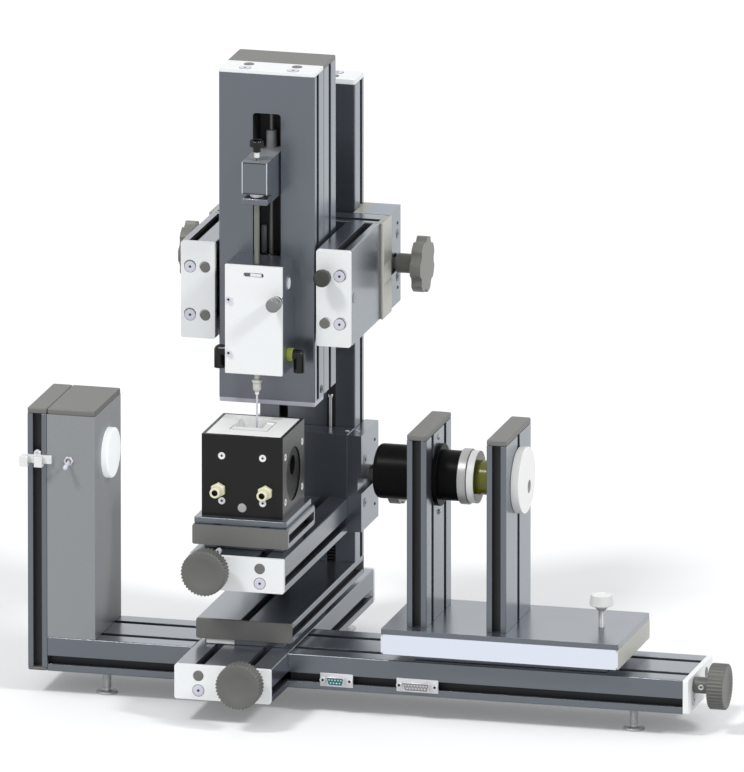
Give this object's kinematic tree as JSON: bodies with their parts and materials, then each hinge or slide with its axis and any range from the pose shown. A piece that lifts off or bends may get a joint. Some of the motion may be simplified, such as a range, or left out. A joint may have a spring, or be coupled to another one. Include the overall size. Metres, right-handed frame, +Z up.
{
  "type": "surface tensiometer",
  "caption": "Bench drop-shape tensiometer of slotted profiles: backlight, sample chamber on a column stage, dosing unit with needle, and a camera slide.",
  "frame": {"origin": "middle of the plan's bounding box, at the feet's undersides", "axes": "+X along the base beam from the backlight to the camera, -Y towards the user, +Z up"},
  "size_m": [0.654, 0.403, 0.5727],
  "materials": {
    "slate_aluminium": "dark anodised, satin",
    "light_aluminium": "natural anodised, satin",
    "white_plate": "white powder coat",
    "grey_cap": "moulded, matt",
    "knob_plastic": "knurled, matt",
    "star_plastic": "moulded, matt",
    "black_metal": "black anodised, satin",
    "black_plastic": "black, matt",
    "chamber_black": "black anodised, matt",
    "white_plastic": "white, matt",
    "cream_plastic": "cream, moulded",
    "lamp_white": "opal, lit",
    "socket_metal": "tinned steel shell with a plastic insert",
    "steel": "bright steel",
    "olive_tube": "tinted, clear",
    "window_glass": "glass in a black ring"
  },
  "bodies": {
    "base": {"base_beams": "slate_aluminium", "cross_beam": "slate_aluminium", "base_plates": "white_plate", "light_post": "slate_aluminium", "light_caps": "grey_cap", "backlight_housing": "light_aluminium", "backlight_diffuser": "lamp_white", "cable_clip": "white_plastic", "serial_sockets": "socket_metal"},
    "left_foot": {"foot_left": "steel"},
    "right_foot": {"foot_right": "steel"},
    "rear_foot": {"foot_rear": "steel"},
    "toggle": {"switch_lever": "steel"},
    "camera_drive": {"camera_knob": "knob_plastic"},
    "camera_slide": {"camera_slide_block": "slate_aluminium", "camera_bars": "white_plastic", "camera_platform": "slate_aluminium", "camera_posts": "slate_aluminium", "camera_post_caps": "grey_cap", "lens_barrel": "black_metal", "camera_tube": "olive_tube", "camera_disc": "white_plastic"},
    "focus": {"focus_ring": "light_aluminium"},
    "camera_lock": {"thumb_screw": "white_plastic"},
    "stage_drive": {"stage_knob": "knob_plastic"},
    "stage": {"stage_slide_block": "slate_aluminium", "stage_carriage": "slate_aluminium", "stage_end_plates": "grey_cap", "main_column": "slate_aluminium"},
    "sample_bracket": {"sample_clamp_block": "slate_aluminium", "sample_clamp_cheeks": "light_aluminium", "table_beam": "slate_aluminium", "table_beam_plate": "white_plate"},
    "sample_lock": {"sample_star_knob": "star_plastic"},
    "table_drive": {"table_knob": "knob_plastic"},
    "table": {"table_slide_block": "slate_aluminium", "table_carriage": "slate_aluminium", "table_plate": "slate_aluminium", "chamber_body": "chamber_black", "chamber_insert": "white_plastic", "chamber_windows": "window_glass", "hose_fittings": "cream_plastic"},
    "dosing_bracket": {"dosing_crossbar": "slate_aluminium", "dosing_arms": "slate_aluminium", "bracket_plates": "white_plate", "dosing_clamp_cheeks": "light_aluminium"},
    "dosing_lock_right": {"star_knob_right": "star_plastic"},
    "dosing_lock_left": {"star_knob_left": "star_plastic"},
    "dosing_drive": {"arm_knob": "knob_plastic"},
    "dosing_unit": {"dosing_front_profile": "slate_aluminium", "dosing_rear_profile": "slate_aluminium", "dosing_plates": "white_plate", "dosing_runners": "slate_aluminium", "valve_box": "slate_aluminium", "hose_elbows": "black_plastic", "needle": "steel"},
    "latch": {"latch_knob": "star_plastic"},
    "feed_screw": {"lead_screw": "steel"},
    "syringe_drive": {"syringe_carriage": "slate_aluminium", "plunger": "steel"}
  },
  "joints": [
    {"name": "left_foot_turn", "type": "hinge", "parent": "base", "child": "left_foot", "pos_m": [-0.254, -0.086, 0.023], "axis": [0, 0, 1], "range_deg": [-720, 720]},
    {"name": "right_foot_turn", "type": "hinge", "parent": "base", "child": "right_foot", "pos_m": [0.24, -0.086, 0.023], "axis": [0, 0, 1], "range_deg": [-720, 720]},
    {"name": "rear_foot_turn", "type": "hinge", "parent": "base", "child": "rear_foot", "pos_m": [-0.1005, 0.1815, 0.023], "axis": [0, 0, 1], "range_deg": [-720, 720]},
    {"name": "toggle_flip", "type": "hinge", "parent": "base", "child": "toggle", "pos_m": [-0.2835, -0.105, 0.2215], "axis": [1, 0, 0], "range_deg": [-24, 0]},
    {"name": "camera_travel", "type": "slide", "parent": "base", "child": "camera_slide", "axis": [1, 0, 0], "range_m": [-0.02, 0.02]},
    {"name": "camera_knob_turn", "type": "hinge", "parent": "base", "child": "camera_drive", "pos_m": [0.2963, -0.086, 0.0455], "axis": [1, 0, 0], "range_deg": [-1441, 1441]},
    {"name": "focus_turn", "type": "hinge", "parent": "camera_slide", "child": "focus", "pos_m": [0.078, -0.0635, 0.22], "axis": [1, 0, 0], "range_deg": [-90, 90]},
    {"name": "camera_lock_turn", "type": "hinge", "parent": "camera_slide", "child": "camera_lock", "pos_m": [0.2036, -0.0635, 0.083], "axis": [0, 0, 1], "range_deg": [-360, 360]},
    {"name": "stage_travel", "type": "slide", "parent": "base", "child": "stage", "axis": [0, 1, 0], "range_m": [-0.025, 0.025]},
    {"name": "stage_knob_turn", "type": "hinge", "parent": "base", "child": "stage_drive", "pos_m": [-0.1005, -0.1708, 0.0455], "axis": [0, 1, 0], "range_deg": [-1801, 1801]},
    {"name": "sample_height", "type": "slide", "parent": "stage", "child": "sample_bracket", "axis": [0, 0, 1], "range_m": [-0.03, 0.003]},
    {"name": "sample_lock_turn", "type": "hinge", "parent": "sample_bracket", "child": "sample_lock", "pos_m": [-0.063, 0.1415, 0.16], "axis": [1, 0, 0], "range_deg": [-90, 360]},
    {"name": "table_travel", "type": "slide", "parent": "sample_bracket", "child": "table", "axis": [0, 1, 0], "range_m": [-0.008, 0.005]},
    {"name": "table_knob_turn", "type": "hinge", "parent": "sample_bracket", "child": "table_drive", "pos_m": [-0.1455, -0.1238, 0.1365], "axis": [0, 1, 0], "range_deg": [-361, 577]},
    {"name": "dosing_height", "type": "slide", "parent": "stage", "child": "dosing_bracket", "axis": [0, 0, 1], "range_m": [-0.003, 0.1]},
    {"name": "right_lock_turn", "type": "hinge", "parent": "dosing_bracket", "child": "dosing_lock_right", "pos_m": [-0.0409, 0.1415, 0.3608], "axis": [1, 0, 0], "range_deg": [-90, 360]},
    {"name": "left_lock_turn", "type": "hinge", "parent": "dosing_bracket", "child": "dosing_lock_left", "pos_m": [-0.2131, 0.1415, 0.3608], "axis": [-1, 0, 0], "range_deg": [-90, 360]},
    {"name": "dosing_travel", "type": "slide", "parent": "dosing_bracket", "child": "dosing_unit", "axis": [0, 1, 0], "range_m": [-0.008, 0.004]},
    {"name": "dosing_knob_turn", "type": "hinge", "parent": "dosing_bracket", "child": "dosing_drive", "pos_m": [-0.066, -0.0183, 0.3878], "axis": [0, 1, 0], "range_deg": [-289, 577]},
    {"name": "latch_turn", "type": "hinge", "parent": "dosing_unit", "child": "latch", "pos_m": [-0.1015, -0.0558, 0.37], "axis": [0, 1, 0], "range_deg": [0, 90]},
    {"name": "syringe_travel", "type": "slide", "parent": "dosing_unit", "child": "syringe_drive", "axis": [0, 0, 1], "range_m": [-0.055, 0.018]},
    {"name": "feed_screw_turn", "type": "hinge", "parent": "dosing_unit", "child": "feed_screw", "pos_m": [-0.123, 0.0045, 0.463], "axis": [0, 0, 1], "range_deg": [-3241, 9901]}
  ],
  "couplings": [
    {"joint": "camera_knob_turn", "follows": "camera_travel", "rad_per_m": -1256.6},
    {"joint": "stage_knob_turn", "follows": "stage_travel", "rad_per_m": -1256.6},
    {"joint": "table_knob_turn", "follows": "table_travel", "rad_per_m": -1256.6},
    {"joint": "dosing_knob_turn", "follows": "dosing_travel", "rad_per_m": -1256.6},
    {"joint": "feed_screw_turn", "follows": "syringe_travel", "rad_per_m": -3141.6}
  ]
}
